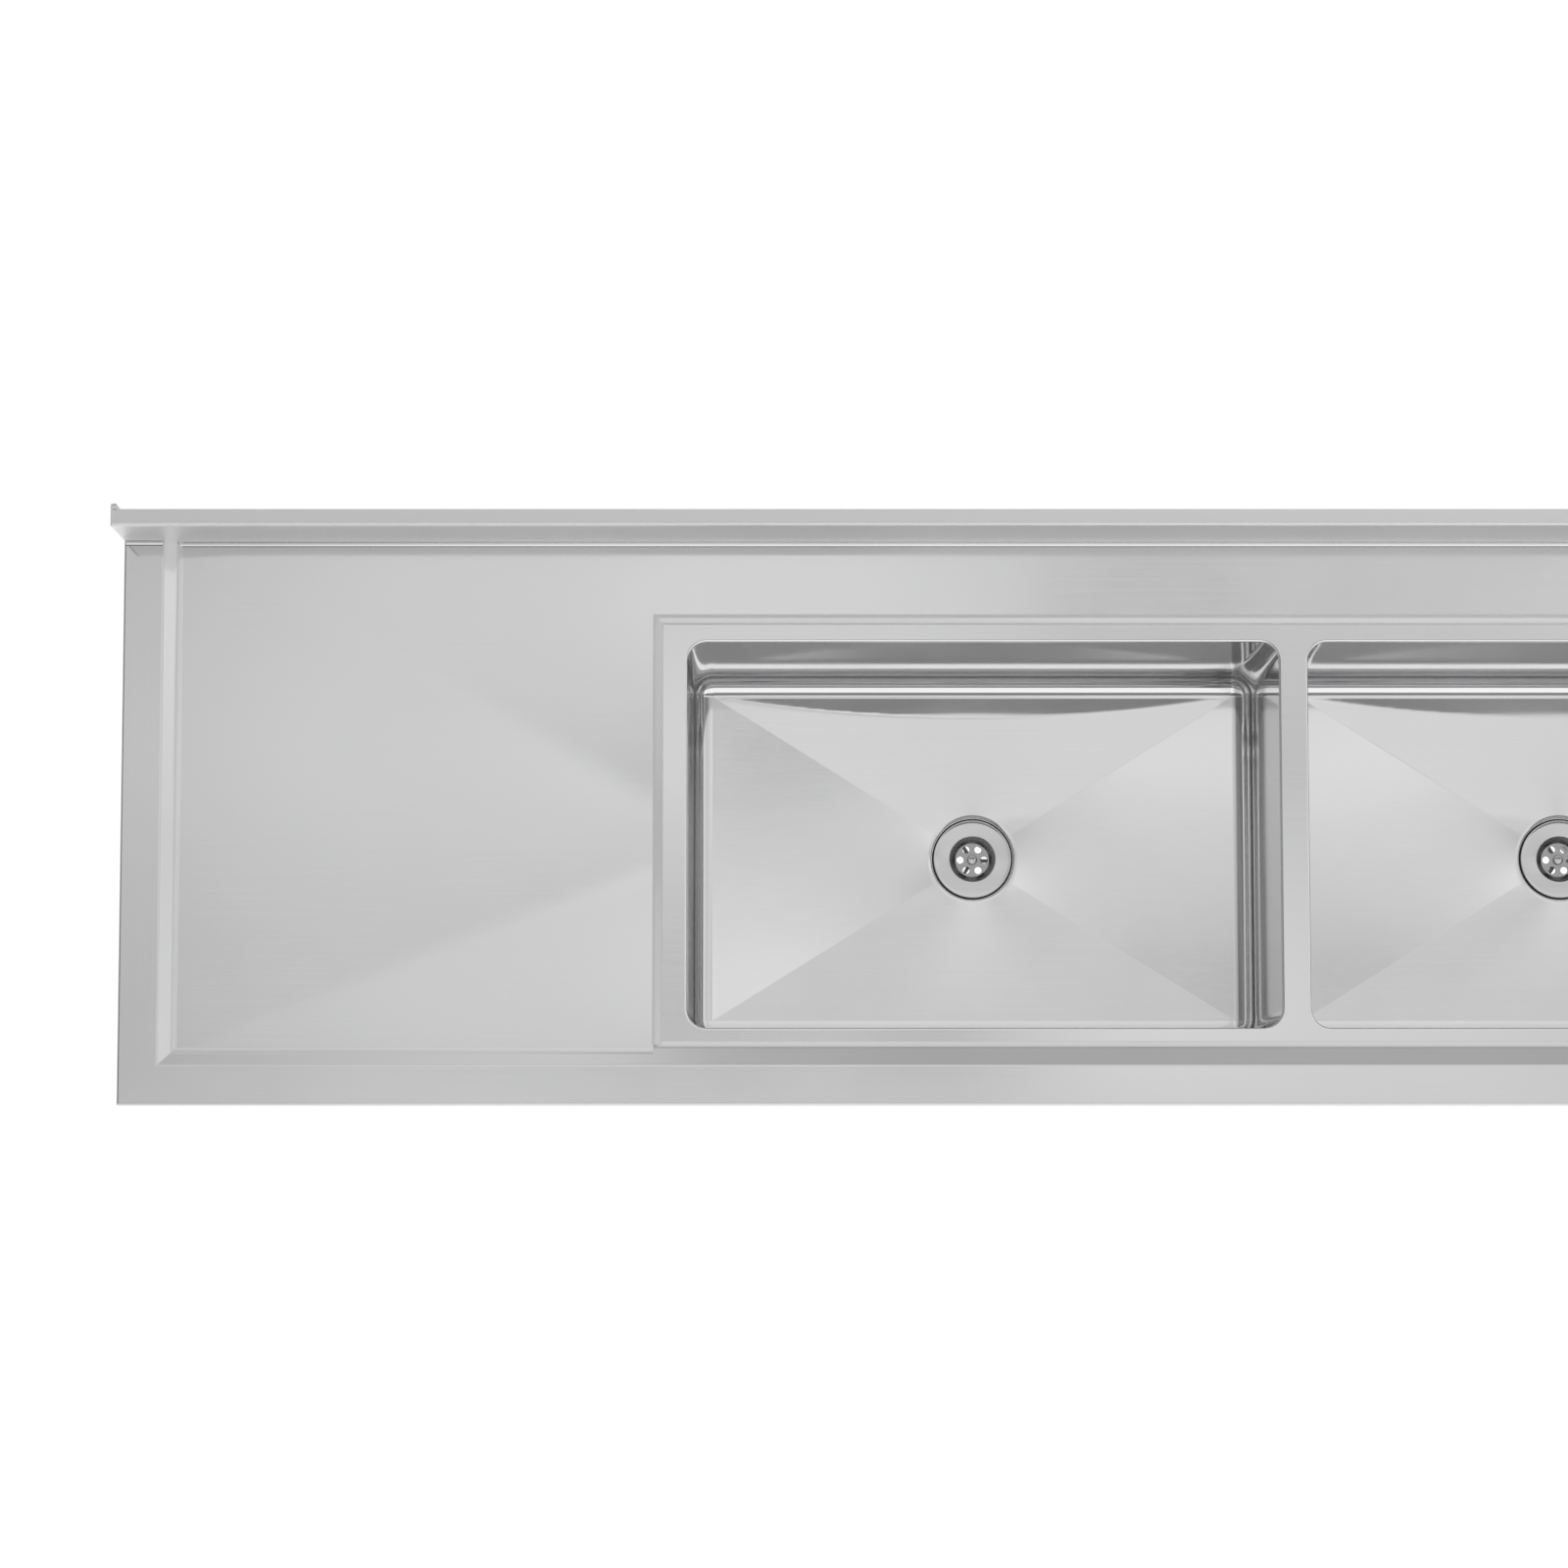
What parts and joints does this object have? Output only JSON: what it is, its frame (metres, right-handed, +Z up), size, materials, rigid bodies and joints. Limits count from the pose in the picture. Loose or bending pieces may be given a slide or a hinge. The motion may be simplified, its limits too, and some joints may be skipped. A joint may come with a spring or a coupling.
{
  "type": "three compartment sink",
  "caption": "Long stainless steel commercial sink: deep bowls in a row, a drainboard at the left, a rear splash, and tube legs on screw feet.",
  "frame": {"origin": "on the floor, below the middle of the sink's bounding box", "axes": "+X to the right of a person standing at the sink, along its length; +Y to the splash and the wall, so -Y is the front; +Z up"},
  "size_m": [2.564, 0.604, 1],
  "materials": {
    "top_steel": "satin stainless sheet, fine grain along the length",
    "bowl_steel": "satin stainless sheet, pressed",
    "waste_steel": "polished stainless pressing",
    "seal_rubber": "black, smooth",
    "waste_plastic": "moulded, pale grey",
    "channel_steel": "bright galvanised",
    "leg_steel": "polished stainless tube",
    "insert_plastic": "moulded, black"
  },
  "bodies": {
    "sink": {"backsplash": "top_steel", "bowl_left": "bowl_steel", "bowl_middle": "bowl_steel", "bowl_right": "bowl_steel", "bowl_surround": "top_steel", "drainboard": "top_steel", "drainboard_brace_1": "channel_steel", "drainboard_brace_2": "channel_steel", "front_channel": "channel_steel", "front_edge": "top_steel", "left_edge": "top_steel", "leg_front_left": "leg_steel", "leg_front_middle": "leg_steel", "leg_front_right": "leg_steel", "leg_insert_front_left": "insert_plastic", "leg_insert_front_middle": "insert_plastic", "leg_insert_front_right": "insert_plastic", "leg_insert_rear_left": "insert_plastic", "leg_insert_rear_middle": "insert_plastic", "leg_insert_rear_right": "insert_plastic", "leg_rear_left": "leg_steel", "leg_rear_middle": "leg_steel", "leg_rear_right": "leg_steel", "leg_socket_front_left": "leg_steel", "leg_socket_front_middle": "leg_steel", "leg_socket_front_right": "leg_steel", "leg_socket_rear_left": "leg_steel", "leg_socket_rear_middle": "leg_steel", "leg_socket_rear_right": "leg_steel", "rear_channel": "channel_steel", "rear_rail_left": "leg_steel", "rear_rail_middle": "leg_steel", "right_edge": "top_steel", "side_rail_left": "leg_steel", "side_rail_middle": "leg_steel", "side_rail_right": "leg_steel", "splash_end_left": "top_steel", "splash_end_right": "top_steel", "waste_body_left": "waste_plastic", "waste_body_middle": "waste_plastic", "waste_body_right": "waste_plastic", "waste_flange_left": "waste_steel", "waste_flange_middle": "waste_steel", "waste_flange_right": "waste_steel", "waste_gasket_left": "seal_rubber", "waste_gasket_middle": "seal_rubber", "waste_gasket_right": "seal_rubber", "waste_screw_left": "waste_steel", "waste_screw_middle": "waste_steel", "waste_screw_right": "waste_steel", "waste_seal_left": "seal_rubber", "waste_seal_middle": "seal_rubber", "waste_seal_right": "seal_rubber"},
    "foot_front_left": {"foot_front_left": "leg_steel"},
    "foot_rear_left": {"foot_rear_left": "leg_steel"},
    "foot_front_middle": {"foot_front_middle": "leg_steel"},
    "foot_rear_middle": {"foot_rear_middle": "leg_steel"},
    "foot_front_right": {"foot_front_right": "leg_steel"},
    "foot_rear_right": {"foot_rear_right": "leg_steel"}
  },
  "joints": [
    {"name": "foot_front_left_screw", "type": "slide", "parent": "sink", "child": "foot_front_left", "axis": [0, 0, -1], "range_m": [0, 0.025]},
    {"name": "foot_rear_left_screw", "type": "slide", "parent": "sink", "child": "foot_rear_left", "axis": [0, 0, -1], "range_m": [0, 0.025]},
    {"name": "foot_front_middle_screw", "type": "slide", "parent": "sink", "child": "foot_front_middle", "axis": [0, 0, -1], "range_m": [0, 0.025]},
    {"name": "foot_rear_middle_screw", "type": "slide", "parent": "sink", "child": "foot_rear_middle", "axis": [0, 0, -1], "range_m": [0, 0.025]},
    {"name": "foot_front_right_screw", "type": "slide", "parent": "sink", "child": "foot_front_right", "axis": [0, 0, -1], "range_m": [0, 0.025]},
    {"name": "foot_rear_right_screw", "type": "slide", "parent": "sink", "child": "foot_rear_right", "axis": [0, 0, -1], "range_m": [0, 0.025]}
  ]
}
